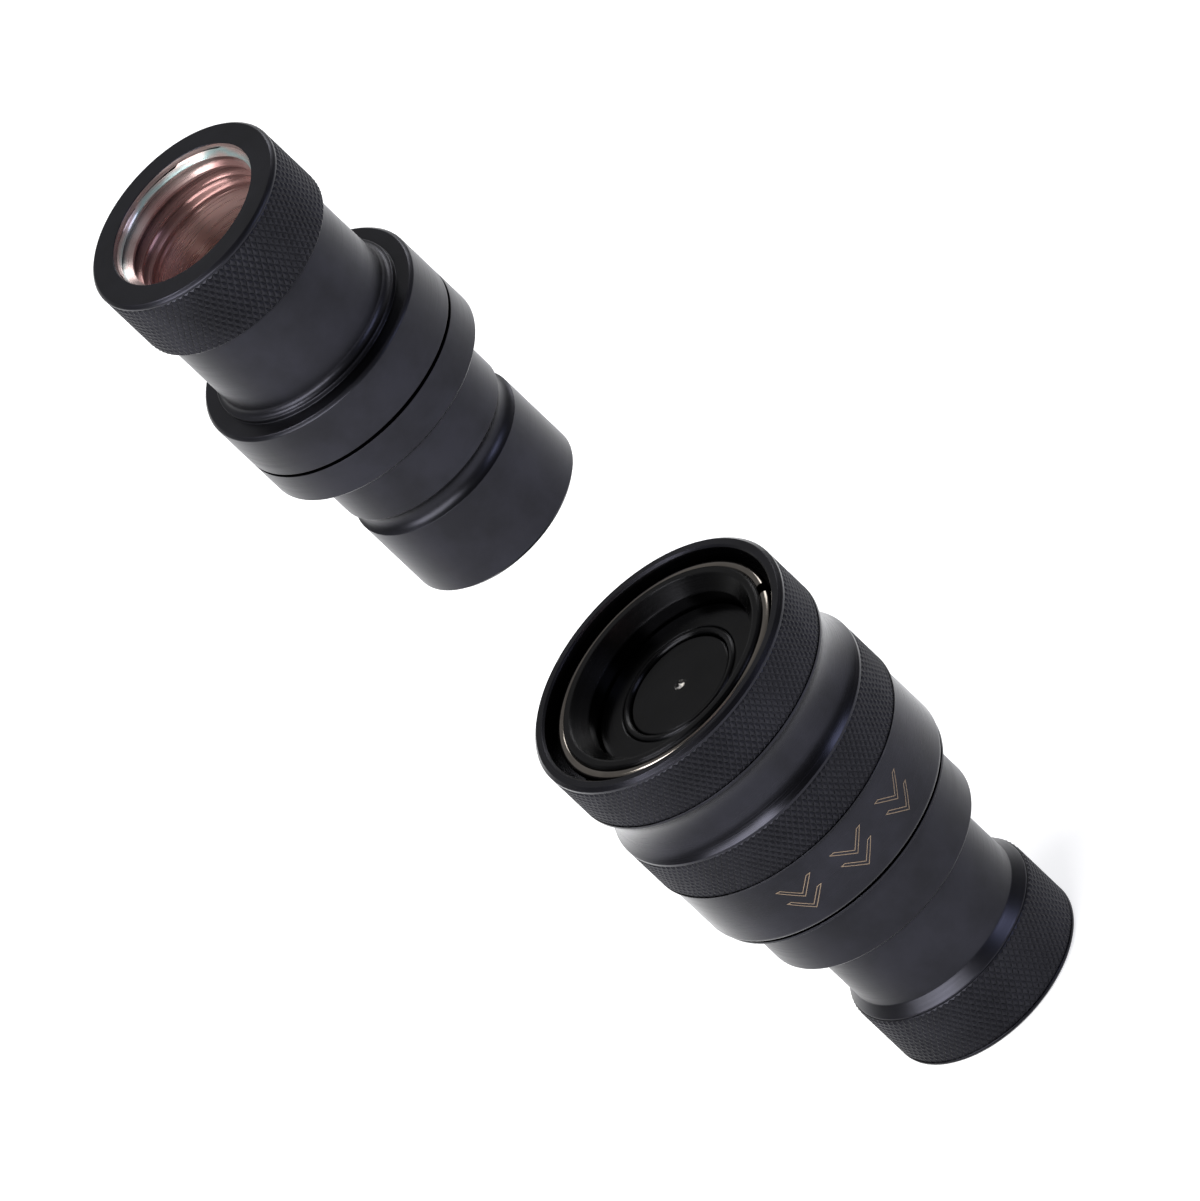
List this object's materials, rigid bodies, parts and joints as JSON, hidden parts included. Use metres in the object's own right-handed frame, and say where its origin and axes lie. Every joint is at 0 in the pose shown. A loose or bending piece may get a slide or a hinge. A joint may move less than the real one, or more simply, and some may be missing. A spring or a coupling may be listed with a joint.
{
  "type": "flat-face liquid cooling quick coupling",
  "caption": "Flat-face quick coupling for liquid cooling: a socket with a knurled push-back sleeve and sprung valve, and a plug whose nose locks on a ball ring as both valves open.",
  "frame": {"origin": "centre of the socket's threaded end face, on which it stands", "axes": "+Z along the common axis of socket and plug, from the socket's threaded end up towards the plug; +X across"},
  "size_m": [0.038, 0.038, 0.1578],
  "materials": {
    "black_coated_steel": "satin black hard coating on turned stainless steel",
    "dark_valve_steel": "dark hard coating on turned stainless steel",
    "polished_steel": "fine turned and polished",
    "spring_steel": "drawn stainless spring wire",
    "ball_steel": "polished bearing balls",
    "rose_steel": "turned steel with a rose interference tint",
    "seal_rubber": "smooth moulded EPDM",
    "ptfe": "machined PTFE"
  },
  "bodies": {
    "socket": {"socket_adapter": "black_coated_steel", "socket_body": "dark_valve_steel", "body_seal": "seal_rubber", "locking_balls": "ball_steel", "snap_ring": "spring_steel", "nose_seal": "seal_rubber", "backup_ring": "ptfe", "sleeve_spring": "spring_steel", "spring_washer": "polished_steel", "valve_spring": "spring_steel", "stem": "dark_valve_steel", "stem_spider": "dark_valve_steel", "stem_nut": "polished_steel"},
    "release_sleeve": {"release_sleeve": "black_coated_steel", "sleeve_end_ring": "black_coated_steel"},
    "valve_sleeve": {"valve_sleeve": "dark_valve_steel", "seat_ring": "polished_steel", "stem_seal": "seal_rubber"},
    "plug": {"plug_adapter": "black_coated_steel", "plug_body": "black_coated_steel", "plug_seal": "seal_rubber", "poppet_spring": "spring_steel"},
    "poppet": {"poppet": "rose_steel", "poppet_seal": "seal_rubber", "poppet_guide": "rose_steel", "guide_clip": "spring_steel"}
  },
  "joints": [
    {"name": "sleeve_push", "type": "slide", "parent": "socket", "child": "release_sleeve", "axis": [0, 0, -1], "range_m": [0, 0.002], "stiffness_N_per_m": 2500, "springref_m": -0.006, "deforming": ["sleeve_spring"]},
    {"name": "valve_push", "type": "slide", "parent": "socket", "child": "valve_sleeve", "axis": [0, 0, -1], "range_m": [0, 0.0184], "stiffness_N_per_m": 1800, "springref_m": -0.011, "deforming": ["valve_spring"]},
    {"name": "plug_approach", "type": "slide", "parent": "valve_sleeve", "child": "plug", "axis": [0, 0, -1], "range_m": [0, 0.03565]},
    {"name": "poppet_lift", "type": "slide", "parent": "plug", "child": "poppet", "axis": [0, 0, 1], "range_m": [0, 0.01795], "deforming": ["poppet_spring"]}
  ],
  "couplings": [
    {"joint": "poppet_lift", "follows": "valve_push", "ratio": 0.97554}
  ]
}
